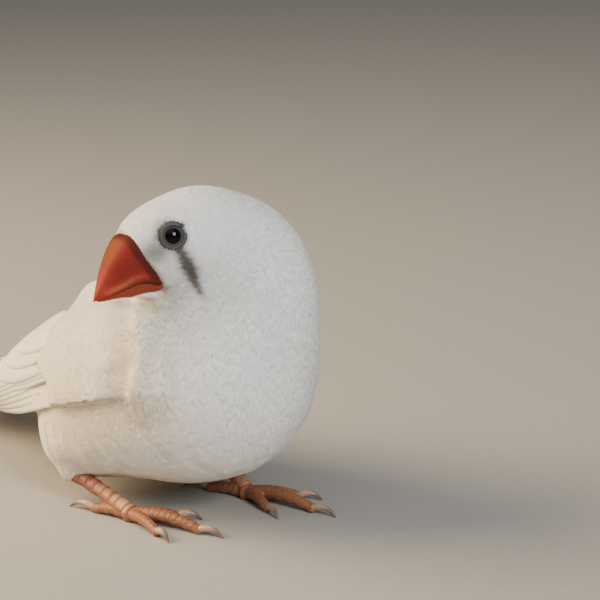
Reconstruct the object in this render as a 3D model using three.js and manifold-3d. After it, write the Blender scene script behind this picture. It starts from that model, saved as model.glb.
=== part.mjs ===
// A white zebra finch at life size, fluffed up on both feet, looking back over its right shoulder.
// Millimetres, +Z up. +X is the way the body faces, +Y is the bird's left, and the floor is Z = 0.
// Every node is a closed body. Neighbours meet face to face across a gap of GAP.

import * as THREE from "three";
import { mergeVertices } from "three/addons/utils/BufferGeometryUtils.js";
import Module from "manifold-3d";

const wasm = await Module();
wasm.setup();

// Driving dimensions
const GAP = 0.3;
const WING_CHORD = 52; // folded wing, wrist to the tip of the longest primary
const TAIL_LENGTH = 36; // past its root under the coverts
const BILL_LENGTH = 7.4; // along the bill's axis, tip to the feathers
const TOE_MIDDLE = 11;
const EYE_RADIUS = 2.2;
const FEATHER_THICKNESS = 0.5;
const MERGE = 1e-4;
const RIGHT = -1;
const LEFT = 1;

const V = (x, y, z) => new THREE.Vector3(x, y, z);
const lerp = THREE.MathUtils.lerp;
const rad = THREE.MathUtils.degToRad;
const ramp = (from, to, x) => THREE.MathUtils.smoothstep(x, from, to);

// Seeded draw, so that every run grows the same feathers.
let drawState = 7321;
function draw(spread) {
  drawState = (drawState * 16807) % 2147483647;
  return spread * ((2 * drawState) / 2147483647 - 1);
}

// Solids and meshes

function bareGeometry(geometry) {
  const loose = geometry.index ? geometry.toNonIndexed() : geometry.clone();
  const bare = new THREE.BufferGeometry();
  bare.setAttribute("position", loose.getAttribute("position"));
  return mergeVertices(bare, MERGE);
}

function signedVolume(points, faces) {
  let six = 0;
  for (let i = 0; i < faces.length; i += 3) {
    const [a, b, c] = [points[faces[i]], points[faces[i + 1]], points[faces[i + 2]]];
    six += a.dot(b.clone().cross(c));
  }
  return six / 6;
}

// A solid from shared points and triangles, turned to face outwards.
function solidOfFaces(points, faces) {
  if (signedVolume(points, faces) < 0) faces.reverse();
  const geometry = new THREE.BufferGeometry().setFromPoints(points);
  geometry.setIndex(faces);
  return solidOf(geometry);
}

function solidOf(geometry) {
  const merged = bareGeometry(geometry);
  const mesh = new wasm.Mesh({
    numProp: 3,
    vertProperties: merged.attributes.position.array,
    triVerts: new Uint32Array(merged.index.array),
  });
  return new wasm.Manifold(mesh);
}

function geometryOf(solid) {
  const mesh = solid.getMesh();
  const geometry = new THREE.BufferGeometry();
  const places = new Float32Array(mesh.numVert * 3);
  for (let i = 0; i < mesh.numVert; i++) {
    const from = i * mesh.numProp;
    places.set(mesh.vertProperties.subarray(from, from + 3), i * 3);
  }
  geometry.setAttribute("position", new THREE.BufferAttribute(places, 3));
  geometry.setIndex(new THREE.BufferAttribute(mesh.triVerts, 1));
  return geometry;
}

const fuse = (solids) => solids.reduce((whole, piece) => whole.add(piece));

function largestOf(solid) {
  const bodies = solid.decompose();
  return bodies.reduce((best, body) => (body.volume() > best.volume() ? body : best));
}

// Keeps the side of a plane that its normal points to.
function trim(solid, point, normal) {
  const unit = normal.clone().normalize();
  return solid.trimByPlane(unit.toArray(), unit.dot(point));
}

// Rings of equal count, skinned along their length and capped at both ends.
function loft(rings) {
  const count = rings[0].length;
  const points = rings.flat();
  const faces = [];
  for (let r = 0; r + 1 < rings.length; r++)
    for (let i = 0; i < count; i++) {
      const a = r * count + i;
      const b = r * count + ((i + 1) % count);
      faces.push(a, b, b + count, a, b + count, a + count);
    }
  for (const [ring, flip] of [[0, true], [rings.length - 1, false]]) {
    const middle = rings[ring].reduce((sum, p) => sum.add(p), V(0, 0, 0)).divideScalar(count);
    const hub = points.push(middle) - 1;
    for (let i = 0; i < count; i++) {
      const a = ring * count + i;
      const b = ring * count + ((i + 1) % count);
      if (flip) faces.push(hub, b, a);
      else faces.push(hub, a, b);
    }
  }
  return solidOfFaces(points, faces);
}

// Two facing grids of points, split into triangles alike and closed round their rim.
function slab(top, bottom) {
  const rows = top.length;
  const columns = top[0].length;
  const points = [...top.flat(), ...bottom.flat()];
  const under = rows * columns;
  const faces = [];
  for (let r = 0; r + 1 < rows; r++)
    for (let c = 0; c + 1 < columns; c++) {
      const a = r * columns + c;
      const b = a + 1;
      const d = a + columns;
      const e = d + 1;
      faces.push(a, b, e, a, e, d);
      faces.push(under + a, under + e, under + b, under + a, under + d, under + e);
    }
  const rim = [];
  for (let c = 0; c < columns; c++) rim.push(c);
  for (let r = 1; r < rows; r++) rim.push(r * columns + columns - 1);
  for (let c = columns - 2; c >= 0; c--) rim.push((rows - 1) * columns + c);
  for (let r = rows - 2; r > 0; r--) rim.push(r * columns);
  rim.forEach((a, i) => {
    const b = rim[(i + 1) % rim.length];
    faces.push(a, under + a, under + b, a, under + b, b);
  });
  return solidOfFaces(points, faces);
}

// A round limb along a smooth curve, its radius running through the listed radii.
function limb(places, radii, { sides = 8, stations = 7, flatten = 1 } = {}) {
  const curve = new THREE.CatmullRomCurve3(places);
  const rings = [];
  let across = null;
  for (let i = 0; i < stations; i++) {
    const along = i / (stations - 1);
    const middle = curve.getPoint(along);
    const ahead = curve.getTangent(along);
    if (!across) across = V(0, 0, 1).cross(ahead).normalize();
    across = across.clone().addScaledVector(ahead, -across.dot(ahead)).normalize();
    const over = ahead.clone().cross(across);
    const at = along * (radii.length - 1);
    const low = Math.min(Math.floor(at), radii.length - 2);
    const radius = lerp(radii[low], radii[low + 1], at - low);
    const ring = [];
    for (let s = 0; s < sides; s++) {
      const turn = (2 * Math.PI * (s + 0.5)) / sides;
      ring.push(
        middle
          .clone()
          .addScaledVector(across, radius * Math.cos(turn))
          .addScaledVector(over, radius * flatten * Math.sin(turn)),
      );
    }
    rings.push(ring);
  }
  return loft(rings);
}

// Head frame: +X towards the bill, +Y the head's left, +Z its crown, origin in the skull.

const HEAD_AT = V(9.8, -5.8, 39.8);
const HEAD_TURN = { right: 97, down: 25, tilt: 4.3 }; // degrees
const headFrame = new THREE.Matrix4()
  .makeRotationFromEuler(
    new THREE.Euler(rad(HEAD_TURN.tilt), rad(HEAD_TURN.down), rad(-HEAD_TURN.right), "ZYX"),
  )
  .setPosition(HEAD_AT);
const onHead = (x, y, z) => V(x, y, z).applyMatrix4(headFrame);
const headWays = (x, y, z) => V(x, y, z).transformDirection(headFrame);

// The plumage is one smooth surface round a few soft masses.

const BLEND = 2.0;
const BODY_MASSES = [
  { name: "breast", at: [5.2, 0, 19.2], radii: [18.0, 15.4, 14.4], down: 0 },
  { name: "belly", at: [-2.3, 0, 14.2], radii: [14.4, 13.8, 9.4], down: 6 },
  { name: "right flank", at: [-8.2, -8.7, 8.6], radii: [6.1, 5.9, 5.2], down: 14 },
  { name: "left flank", at: [-8.2, 8.7, 8.6], radii: [6.1, 5.9, 5.2], down: 14 },
  { name: "mantle", at: [-7.4, 0, 18.5], radii: [13.8, 12.6, 8.8], down: 31 },
  { name: "neck", at: [9.6, 4.1, 29.9], radii: [12.3, 9.8, 14.0], down: 0 },
  { name: "rump", at: [-20.7, 0, 14.0], radii: [10.4, 7.9, 5.9], down: 22 },
  { name: "vent", at: [-15.5, 0, 11.0], radii: [9.5, 7.6, 5.2], down: 10 },
];
const HEAD_MASSES = [
  { name: "cranium", at: [-1.2, 0, -0.3], radii: [7.0, 5.8, 5.3], down: 0 },
  { name: "face", at: [4.6, 0, 1.0], radii: [4.2, 3.8, 4.3], down: 0 },
  { name: "cheeks", at: [-0.6, 0, -2.5], radii: [5.5, 5.9, 3.9], down: 0 },
];

function massOf({ at, radii, down }, frame) {
  const place = new THREE.Matrix4().makeRotationY(-rad(down)).setPosition(...at);
  return { inverse: place.premultiply(frame).invert(), radii: V(...radii) };
}
const masses = [
  ...BODY_MASSES.map((mass) => massOf(mass, new THREE.Matrix4())),
  ...HEAD_MASSES.map((mass) => massOf(mass, headFrame)),
];

// About the distance from the plumage's surface, below zero inside it.
function plumage(point) {
  let sum = 0;
  for (const { inverse, radii } of masses) {
    const local = point.clone().applyMatrix4(inverse).divide(radii);
    const share = local.length();
    const slope = local.divide(radii).length();
    sum += Math.exp(-((share * (share - 1)) / slope) / BLEND);
  }
  return -BLEND * Math.log(sum);
}

// The plumage seen from a centre: a ball whose corners move out to the surface, or to a level off it.
const REACH = 70;
const STEP = 0.8;
function plumageRound(centre, detail, level = 0) {
  const ball = bareGeometry(new THREE.IcosahedronGeometry(1, detail));
  const places = ball.attributes.position;
  for (let i = 0; i < places.count; i++) {
    const way = V(0, 0, 0).fromBufferAttribute(places, i).normalize();
    const height = (r) => plumage(centre.clone().addScaledVector(way, r)) - level;
    let outer = REACH;
    while (outer > 0 && height(outer - STEP) > 0) outer -= STEP;
    let inner = outer - STEP;
    for (let n = 0; n < 20; n++) {
      const middle = (outer + inner) / 2;
      if (height(middle) > 0) outer = middle;
      else inner = middle;
    }
    places.setXYZ(i, ...centre.clone().addScaledVector(way, outer).toArray());
  }
  return solidOf(ball);
}

// Head, neck and torso are parted by a ball round the head and by a plane at the foot of the neck.

const TORSO_CENTRE = V(-1, 0, 17);
const NECK_CENTRE = V(9, 2.5, 31);
const NECK_FOOT = V(9, 1.5, 26);
const HEAD_REACH = 10.2;
const TORSO_DETAIL = 9;
const HEAD_DETAIL = 7;
const NECK_DETAIL = 7;
const neckWay = V(0.35, 0, 1).normalize();

const around = plumageRound(TORSO_CENTRE, TORSO_DETAIL);
const clearOfTorso = plumageRound(TORSO_CENTRE, TORSO_DETAIL, GAP);
const aroundHead = plumageRound(HEAD_AT, HEAD_DETAIL);
const clearOfHead = plumageRound(HEAD_AT, HEAD_DETAIL, GAP);
const aroundNeck = plumageRound(NECK_CENTRE, NECK_DETAIL);

// Tail: twelve feathers in six pairs under short coverts, cut from the rump by a plane.

const TAIL = { root: V(-24, 0, 15.4), down: 19, pairs: 6, width: 6.0, layer: 0.42 };
const tailBack = V(-Math.cos(rad(TAIL.down)), 0, -Math.sin(rad(TAIL.down)));
const tailOver = V(-Math.sin(rad(TAIL.down)), 0, Math.cos(rad(TAIL.down)));
const tailSheet = (s, t, h) =>
  TAIL.root
    .clone()
    .addScaledVector(tailBack, s)
    .addScaledVector(V(0, 1, 0), t)
    .addScaledVector(tailOver, h - 0.03 * t * t);

// One feather on a sheet: from its root to its tip, one edge lifted so that its neighbour tucks under.
const FLIGHT_ROWS = [0, 0.38, 0.72, 0.91, 1];
const COVERT_ROWS = [0, 0.5, 0.85, 1];
const VANE_THIN = 0.25;
function vane(sheet, { root, tip, width, height, lift = 0.22, rise = 0, bow = 0, rows = FLIGHT_ROWS }) {
  const [s0, t0] = root;
  const [s1, t1] = tip;
  const length = Math.hypot(s1 - s0, t1 - t0);
  const side = [-(t1 - t0) / length, (s1 - s0) / length];
  const top = [];
  const bottom = [];
  for (const f of rows) {
    const shape = f < 0.6 ? lerp(0.62, 1, f / 0.6) : Math.sqrt(1 - 0.94 * ((f - 0.6) / 0.4) ** 2);
    const thick = f === 1 ? VANE_THIN : FEATHER_THICKNESS;
    const bend = bow * 4 * f * (1 - f);
    const over = [];
    const under = [];
    for (const j of [-1, 1]) {
      const aside = bend + (j * width * shape) / 2;
      const s = lerp(s0, s1, f) + side[0] * aside;
      const t = lerp(t0, t1, f) + side[1] * aside;
      const h = height + rise * f - j * lift;
      over.push(sheet(s, t, h));
      under.push(sheet(s, t, h - thick));
    }
    top.push(over);
    bottom.push(under);
  }
  return slab(top, bottom);
}

function tailNode() {
  const cutAt = tailSheet(3, 0, 0);
  const feathers = [];
  for (let pair = 0; pair < TAIL.pairs; pair++)
    for (const side of [RIGHT, LEFT]) {
      const length = TAIL_LENGTH - 0.09 * pair * pair + draw(0.25);
      feathers.push(
        vane(tailSheet, {
          root: [-2, side * (0.5 + 0.28 * pair)],
          tip: [length, side * (1.1 + 0.8 * pair)],
          width: TAIL.width,
          height: 1.6 - TAIL.layer * pair - (side === LEFT ? 0.12 : 0),
          lift: side * 0.1,
        }),
      );
    }
  const coverts = trim(around, cutAt.clone().addScaledVector(tailBack, GAP), tailBack);
  return largestOf(trim(fuse([coverts, ...feathers]), cutAt.clone().addScaledVector(tailBack, GAP), tailBack));
}

// Wings: a sheet that wraps the flank and draws in towards the tail carries every feather.
// s runs back from the wrist, t up and round from the wing's lower edge, h out from the sheet.

const WING = { wristX: 12.5, wristZ: 19.5, down: 17, lean: 0.23 };
const WING_STATIONS = { from: -56, step: 8 }; // along X, for the three rows below
const WING_HALF = [5.8, 6, 6.6, 8.2, 10.4, 13.2, 15.8, 16.8, 16.5, 14.2];
const WING_WIDEST = [5, 7, 9.5, 11, 12, 12.8, 14.2, 17, 18.8, 19.2];
const WING_CROWN = [3, 4, 5.2, 6.8, 9.6, 14, 17.5, 17.8, 16.5, 15.2];
const wingSlope = rad(WING.down);

// A smooth curve through values at even stations.
function along(values, x) {
  const at = Math.min(Math.max((x - WING_STATIONS.from) / WING_STATIONS.step, 0), values.length - 1.001);
  const i = Math.floor(at);
  const f = at - i;
  const [a, b, c, d] = [-1, 0, 1, 2].map((k) => values[Math.min(Math.max(i + k, 0), values.length - 1)]);
  return b + 0.5 * f * (c - a + f * (2 * a - 5 * b + 4 * c - d + f * (3 * (b - c) + d - a)));
}

function wingSheet(side) {
  const onSheet = (s, t) => {
    const x = WING.wristX - s * Math.cos(wingSlope) - t * WING.lean;
    const half = along(WING_HALF, x);
    const crown = along(WING_CROWN, x);
    const widest = along(WING_WIDEST, x);
    const low = WING.wristZ - s * Math.sin(wingSlope) - widest;
    const turn = Math.asin(Math.max(-0.9, low / crown)) + (2 * t) / (half + crown);
    return V(x, side * half * Math.cos(turn), widest + crown * Math.sin(turn));
  };
  const e = 0.05;
  return (s, t, h) => {
    const place = onSheet(s, t);
    const back = onSheet(s + e, t).sub(place);
    const up = onSheet(s, t + e).sub(place);
    const out = back.cross(up).multiplyScalar(side).normalize();
    return place.addScaledVector(out, h);
  };
}

// The arm and small coverts under the feathers, thick at the shoulder and thin towards the tips.
const ARM = { rows: 8, columns: 5, front: [2.6, 0.4], back: 32 };
function wingArm(sheet) {
  const top = [];
  const bottom = [];
  for (let r = 0; r < ARM.rows; r++) {
    const f = r / (ARM.rows - 1);
    const low = lerp(1.4, 0.8, ramp(0, 0.2, f)) + 1.8 * ramp(0.7, 1, f);
    const high = lerp(12.8, 14.5, ramp(0, 0.3, f)) - 5 * ramp(0.45, 1, f);
    const over = [];
    const under = [];
    for (let c = 0; c < ARM.columns; c++) {
      const g = c / (ARM.columns - 1);
      const s = lerp(lerp(ARM.front[0], ARM.front[1], g), ARM.back, f);
      const t = lerp(low, high, g);
      const swell = Math.sin(Math.PI * g) ** 0.6;
      const h = lerp(0.95, 0.1, ramp(0.1, 0.6, f)) * swell * ramp(-0.12, 0.12, f) + 0.05;
      over.push(sheet(s, t, h));
      under.push(sheet(s, t, Math.min(h - 0.6, lerp(-3.4, -0.7, ramp(0.15, 0.75, f)))));
    }
    top.push(over);
    bottom.push(under);
  }
  return slab(top, bottom);
}

// Every tier runs from its lowest feather up, and each step is added from one feather to the next.
const TIERS = [
  {
    name: "primaries",
    count: 6,
    root: [13, 3.2],
    rootStep: [0.4, 0.5],
    tip: [WING_CHORD, 2.6],
    tipStep: [0, 0.8],
    shorten: 0.95,
    longest: 1.8,
    width: 4.2,
    height: 0.25,
    bow: -0.4,
  },
  {
    name: "secondaries",
    count: 5,
    root: [13, 5.6],
    rootStep: [-0.3, 1.1],
    tip: [38, 6.4],
    tipStep: [-0.6, 0.8],
    width: 4.8,
    height: 0.42,
    bow: -0.2,
  },
  {
    name: "tertials",
    count: 4,
    root: [12, 9.5],
    rootStep: [-0.8, 1.8],
    tip: [40.5, 8.8],
    tipStep: [-3.6, 1.6],
    width: 5.6,
    height: 0.75,
    bow: 0.3,
  },
  {
    name: "primary coverts",
    count: 3,
    root: [6, 3.2],
    rootStep: [1, 0.8],
    tip: [27, 2.9],
    tipStep: [-2, 1],
    width: 3.2,
    height: 0.62,
    rows: COVERT_ROWS,
  },
  {
    name: "greater coverts",
    count: 7,
    root: [8, 4.4],
    rootStep: [0, 1.75],
    tip: [23, 4.2],
    tipStep: [-0.3, 1.65],
    width: 4.0,
    height: 0.85,
    rows: COVERT_ROWS,
  },
  {
    name: "median coverts",
    count: 6,
    root: [4, 5.0],
    rootStep: [0, 1.9],
    tip: [15.5, 5.0],
    tipStep: [-0.3, 1.85],
    width: 4.2,
    height: 1.15,
    rows: COVERT_ROWS,
  },
];
const TIER_STEP = 0.04; // each feather lies this much above the one below it
function wingNode(side) {
  const sheet = wingSheet(side);
  const pieces = [wingArm(sheet)];
  for (const tier of TIERS)
    for (let k = 0; k < tier.count; k++) {
      const step = (from, by) => [from[0] + by[0] * k, from[1] + by[1] * k];
      const tip = step(tier.tip, tier.tipStep);
      tip[0] += draw(0.3) - (tier.shorten ?? 0) * (k - (tier.longest ?? 0)) ** 2;
      const height = tier.height + TIER_STEP * k;
      pieces.push(vane(sheet, { ...tier, root: step(tier.root, tier.rootStep), tip, height }));
    }
  return largestOf(fuse(pieces).subtract(clearOfTorso).subtract(clearOfHead));
}

// Bill: two horny cones in the head frame, measured back from the tip by d.

const BILL_TIP = [14.8, 0, -0.7];
const BILL = { width: 3.8, height: 5.4, lowerDepth: 2.6, gapeDrop: 1.5, short: 0.5 };
const BILL_STATIONS = [0.02, 0.08, 0.18, 0.32, 0.5, 0.7, 0.88, 1.04, 1.28];
const SECTION_POWER = 0.62; // below one, the arch has fuller shoulders than an ellipse
const billShare = (d) => Math.min(1, Math.max(0, d / BILL_LENGTH));
const culmenAt = (d) => BILL.height * (1 - (1 - billShare(d) * 0.97) ** 1.5);
const tomiumAt = (d) => -BILL.gapeDrop * billShare(d) ** 1.8;
const halfWidthAt = (d) => BILL.width * billShare(d) ** 0.9;
const onBill = (d, y, z) => onHead(BILL_TIP[0] - d, y, BILL_TIP[2] + z);

function upperBill(grow = 0) {
  const rings = BILL_STATIONS.map((share) => {
    const d = share * BILL_LENGTH - grow * (share < 0.1 ? 1 : 0);
    const wide = halfWidthAt(share * BILL_LENGTH) + grow;
    const low = tomiumAt(share * BILL_LENGTH) - grow;
    const high = culmenAt(share * BILL_LENGTH) + grow - low;
    const ring = [];
    for (let i = -4; i <= 4; i++) {
      const turn = (i / 4) * (Math.PI / 2);
      const aside = Math.sign(i) * Math.abs(Math.sin(turn)) ** SECTION_POWER;
      ring.push(onBill(d, wide * aside, low + high * Math.max(0, Math.cos(turn)) ** SECTION_POWER));
    }
    ring.push(onBill(d, wide * 0.5, low + 0.12 * high), onBill(d, -wide * 0.5, low + 0.12 * high));
    return ring;
  });
  return loft(rings);
}

function lowerBill(grow = 0) {
  const rings = BILL_STATIONS.map((share) => {
    const d = share * BILL_LENGTH + BILL.short - grow * (share < 0.1 ? 1 : 0);
    const wide = 0.9 * halfWidthAt(share * BILL_LENGTH) + grow;
    const high = tomiumAt(d) - GAP + grow;
    const deep = BILL.lowerDepth * billShare(share * BILL_LENGTH) ** 0.8 + 2 * grow;
    const ring = [];
    for (let i = -4; i <= 4; i++) {
      const turn = (i / 4) * (Math.PI / 2);
      ring.push(onBill(d, wide * Math.sin(turn), high - deep * Math.max(0, Math.cos(turn)) ** 0.8));
    }
    return ring;
  });
  return loft(rings);
}

function ballAt(place, radii, detail) {
  const ball = new THREE.IcosahedronGeometry(1, detail);
  ball.scale(...radii);
  return solidOf(ball.translate(...place.toArray()));
}

const NOSTRIL = { back: 6.9, aside: 2.6, up: 4.2, radius: 0.42 };
function upperBillNode() {
  let bill = upperBill();
  for (const side of [RIGHT, LEFT]) {
    const place = onBill(NOSTRIL.back, side * NOSTRIL.aside, NOSTRIL.up);
    bill = bill.subtract(ballAt(place, [NOSTRIL.radius, NOSTRIL.radius, NOSTRIL.radius], 2));
  }
  return largestOf(bill);
}

// Eyes: balls in open sockets, each in a ring of bare lid.

const EYE = { x: 2.6, y: 3.5, z: 2.1, ahead: 15, above: 17 };
const LID = { ring: 1.7, tube: 0.36, out: 2.0 };
const eyeAt = (side) => onHead(EYE.x, side * EYE.y, EYE.z);
function eyeWay(side) {
  const flat = Math.cos(rad(EYE.above));
  return headWays(
    flat * Math.sin(rad(EYE.ahead)),
    side * flat * Math.cos(rad(EYE.ahead)),
    Math.sin(rad(EYE.above)),
  );
}

function turnedTo(geometry, way, place) {
  const turn = new THREE.Quaternion().setFromUnitVectors(V(0, 0, 1), way);
  return geometry.applyQuaternion(turn).translate(...place.toArray());
}

function headNode() {
  let head = aroundHead.intersect(ballAt(HEAD_AT, [HEAD_REACH, HEAD_REACH, HEAD_REACH], 5));
  for (const side of [RIGHT, LEFT]) {
    const way = eyeWay(side);
    const opening = new THREE.CylinderGeometry(LID.ring, LID.ring, 4, 18);
    opening.rotateX(Math.PI / 2);
    head = head.subtract(solidOf(turnedTo(opening, way, eyeAt(side).addScaledVector(way, 3.4))));
    const lid = new THREE.TorusGeometry(LID.ring, LID.tube, 6, 18);
    const lidAt = eyeAt(side).addScaledVector(way, LID.out);
    head = head.add(solidOf(turnedTo(lid, way, lidAt)));
    const socket = EYE_RADIUS + GAP;
    head = head.subtract(ballAt(eyeAt(side), [socket, socket, socket], 3));
  }
  return largestOf(head.subtract(upperBill(GAP)).subtract(lowerBill(GAP)));
}

const eyeNode = (side) => ballAt(eyeAt(side), [EYE_RADIUS, EYE_RADIUS, EYE_RADIUS], 3);

const headRoom = () => {
  const reach = HEAD_REACH + GAP;
  return ballAt(HEAD_AT, [reach, reach, reach], 5);
};

function neckNode() {
  const over = trim(aroundNeck, NECK_FOOT.clone().addScaledVector(neckWay, GAP), neckWay);
  return largestOf(over.subtract(headRoom()));
}

function torsoNode() {
  let below = trim(around, NECK_FOOT, neckWay.clone().negate()).subtract(headRoom());
  for (const side of [RIGHT, LEFT]) below = below.subtract(tarsus(side, GAP));
  return largestOf(trim(below, tailSheet(3, 0, 0), tailBack.clone().negate()));
}

// Legs: a scaly tarsus out of the flank feathers, and a foot of three toes ahead and one behind.

const LEGS = {
  [RIGHT]: { heel: V(-8.6, -11.5, 4.9), ball: V(3.6, -10, 1.5), turn: 17 },
  [LEFT]: { heel: V(-5.5, 10.5, 5.2), ball: V(7.2, 7.7, 1.5), turn: 17 },
};
const TOES = [
  { name: "hind", way: 178, length: 6.2, claw: 4.2, arch: 0.35, radii: [0.95, 0.78, 0.66] },
  { name: "inner", way: 32, length: 6.6, claw: 3.0, arch: 0.5, radii: [0.85, 0.74, 0.62] },
  { name: "middle", way: 2, length: TOE_MIDDLE, claw: 3.6, arch: 0.9, radii: [0.95, 0.86, 0.8, 0.66] },
  { name: "outer", way: -26, length: 7.4, claw: 3.0, arch: 0.5, radii: [0.85, 0.74, 0.62] },
];

// Inner toes point towards the other foot.
function toeWay(side, toe) {
  const turn = rad(LEGS[side].turn - side * toe.way);
  return V(Math.cos(turn), Math.sin(turn), 0);
}
const toeEnd = (side, toe) =>
  LEGS[side].ball.clone().setZ(0.56).addScaledVector(toeWay(side, toe), toe.length);
const tarsusWay = (side) => LEGS[side].heel.clone().sub(LEGS[side].ball).normalize();

const STUB = 2.2; // the tarsus's lowest length belongs to the foot
function pads(side, grow = 0) {
  const { ball } = LEGS[side];
  const pieces = [ballAt(ball.clone().setZ(1.0), [1.6 + grow, 1.5 + grow, 1.15 + grow], 2)];
  for (const toe of TOES) {
    const end = toeEnd(side, toe);
    const start = ball.clone().setZ(0.9);
    const middle = start.clone().lerp(end, 0.5).add(V(0, 0, toe.arch));
    const radii = toe.radii.map((radius) => radius + grow);
    pieces.push(limb([start, middle, end], radii, { stations: 6, sides: 7 }));
  }
  return fuse(pieces);
}

function footNode(side) {
  const { ball } = LEGS[side];
  const end = ball.clone().addScaledVector(tarsusWay(side), STUB);
  const stub = limb([ball.clone().setZ(1.2), end], [1.2, 1.0], { stations: 3 });
  return largestOf(trim(pads(side).add(stub), V(0, 0, 0), V(0, 0, 1)));
}

function clawNode(side, toe) {
  const way = toeWay(side, toe);
  const start = toeEnd(side, toe).addScaledVector(way, GAP);
  const middle = start.clone().addScaledVector(way, toe.claw * 0.5).add(V(0, 0, 0.35));
  const tip = start.clone().addScaledVector(way, toe.claw * 0.92).setZ(0.1);
  const claw = limb([start, middle, tip], [0.55, 0.45, 0.32, 0.16], { stations: 5, sides: 6 });
  return trim(claw, V(0, 0, 0), V(0, 0, 1));
}

function tarsus(side, grow = 0) {
  const { heel, ball } = LEGS[side];
  const start = ball.clone().addScaledVector(tarsusWay(side), STUB + GAP - grow);
  const end = heel.clone().addScaledVector(tarsusWay(side), grow);
  const radii = [1.05, 1.05, 1.1, 1.3].map((radius) => radius + grow);
  return limb([start, start.clone().lerp(end, 0.5), end], radii, { stations: 8 });
}

const tarsusNode = (side) => largestOf(tarsus(side).subtract(pads(side, GAP)));

// The whole bird

const WHITE = { name: "white_plumage", color: 0xf2eee6, roughness: 0.9, metalness: 0 };
const CREAM = { name: "flight_feathers", color: 0xe9dcc4, roughness: 0.85, metalness: 0 };
const BILL_RED = { name: "bill", color: 0xc4452a, roughness: 0.4, metalness: 0 };
const EYE_BLACK = { name: "eye", color: 0x120d0d, roughness: 0.08, metalness: 0 };
const LEG_ORANGE = { name: "leg_skin", color: 0xc77a4c, roughness: 0.55, metalness: 0 };
const CLAW_HORN = { name: "claw", color: 0xb08a6c, roughness: 0.45, metalness: 0 };

const BOX_MIDDLE = V(-17.7, -0.4, 0); // the finished part's origin: the floor under its middle
const bird = new THREE.Group();
function addNode(name, solid, finish) {
  const geometry = geometryOf(solid.translate(BOX_MIDDLE.clone().negate().toArray()));
  const mesh = new THREE.Mesh(geometry, new THREE.MeshStandardMaterial(finish));
  mesh.name = name;
  bird.add(mesh);
}

addNode("torso", torsoNode(), WHITE);
addNode("neck", neckNode(), WHITE);
addNode("head", headNode(), WHITE);
addNode("upper_bill", upperBillNode(), BILL_RED);
addNode("lower_bill", largestOf(lowerBill()), BILL_RED);
addNode("tail", tailNode(), CREAM);
for (const [side, word] of [[RIGHT, "right"], [LEFT, "left"]]) {
  addNode(`eye_${word}`, eyeNode(side), EYE_BLACK);
  addNode(`wing_${word}`, wingNode(side), CREAM);
  addNode(`tarsus_${word}`, tarsusNode(side), LEG_ORANGE);
  addNode(`foot_${word}`, footNode(side), LEG_ORANGE);
  for (const toe of TOES) addNode(`claw_${word}_${toe.name}`, clawNode(side, toe), CLAW_HORN);
}

export default bird;
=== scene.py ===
from math import cos, pi, radians, sin

import bpy
import numpy as np
from mathutils import Matrix, Vector, noise
from mathutils.bvhtree import BVHTree


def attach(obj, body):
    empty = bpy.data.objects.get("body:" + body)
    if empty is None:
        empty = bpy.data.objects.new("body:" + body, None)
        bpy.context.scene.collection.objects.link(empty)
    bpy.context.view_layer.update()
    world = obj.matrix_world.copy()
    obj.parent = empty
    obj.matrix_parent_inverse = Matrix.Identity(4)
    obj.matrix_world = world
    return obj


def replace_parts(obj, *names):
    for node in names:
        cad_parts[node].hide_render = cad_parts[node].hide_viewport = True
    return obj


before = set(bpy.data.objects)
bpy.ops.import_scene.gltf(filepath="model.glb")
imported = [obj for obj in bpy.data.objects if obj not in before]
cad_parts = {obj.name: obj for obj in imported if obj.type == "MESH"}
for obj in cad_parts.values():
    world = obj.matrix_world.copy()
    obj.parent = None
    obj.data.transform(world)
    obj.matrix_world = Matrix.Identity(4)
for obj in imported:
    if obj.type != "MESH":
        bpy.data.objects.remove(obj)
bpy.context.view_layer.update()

# Camera: it looks at the bird from the side it turns its head to, a little above level, and so
# close that the tail runs out of the picture.

MM = 0.001
BIRD = np.array((17.7, 0.4, 0))  # the floor under the bird's breast, in the part's frame


def place(x, y, z):
    """A point of the bird, in millimetres from the floor under its breast, in the part's frame."""
    return (Vector((x, y, z)) + Vector(BIRD)) * MM


def added(name, data):
    """A new object in the scene."""
    made = bpy.data.objects.new(name, data)
    bpy.context.scene.collection.objects.link(made)
    return made


VIEW_ROUND, VIEW_ABOVE, VIEW_DISTANCE = radians(48), radians(14), 300 * MM
VIEW_MIDDLE = (8.62, 16.43, 27.36)  # what stands in the middle of the picture
HALF_FRAME, FOCAL_LENGTH = 300, 2160  # in the photograph's pixels
view_right = Vector((cos(VIEW_ROUND), sin(VIEW_ROUND), 0))
view_back = Vector((sin(VIEW_ROUND) * cos(VIEW_ABOVE), -cos(VIEW_ROUND) * cos(VIEW_ABOVE), sin(VIEW_ABOVE)))
camera = added("camera", bpy.data.cameras.new("camera"))
camera.data.angle = 2 * np.arctan(HALF_FRAME / FOCAL_LENGTH)
camera.data.clip_start = 10 * MM
camera.matrix_world = (
    Matrix.Translation(place(*VIEW_MIDDLE) + VIEW_DISTANCE * view_back)
    @ Matrix((view_right, view_back.cross(view_right), view_back)).transposed().to_4x4()
)
bpy.context.scene.camera = camera

# Skin: the bird's body under its feathers, from the face to the root of the tail, with the folded
# arms of the wings raised on it. The part's solids are melted into one closed surface, which is
# drawn in by the coat's depth and wears the coat's markings and painted shade.

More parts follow.
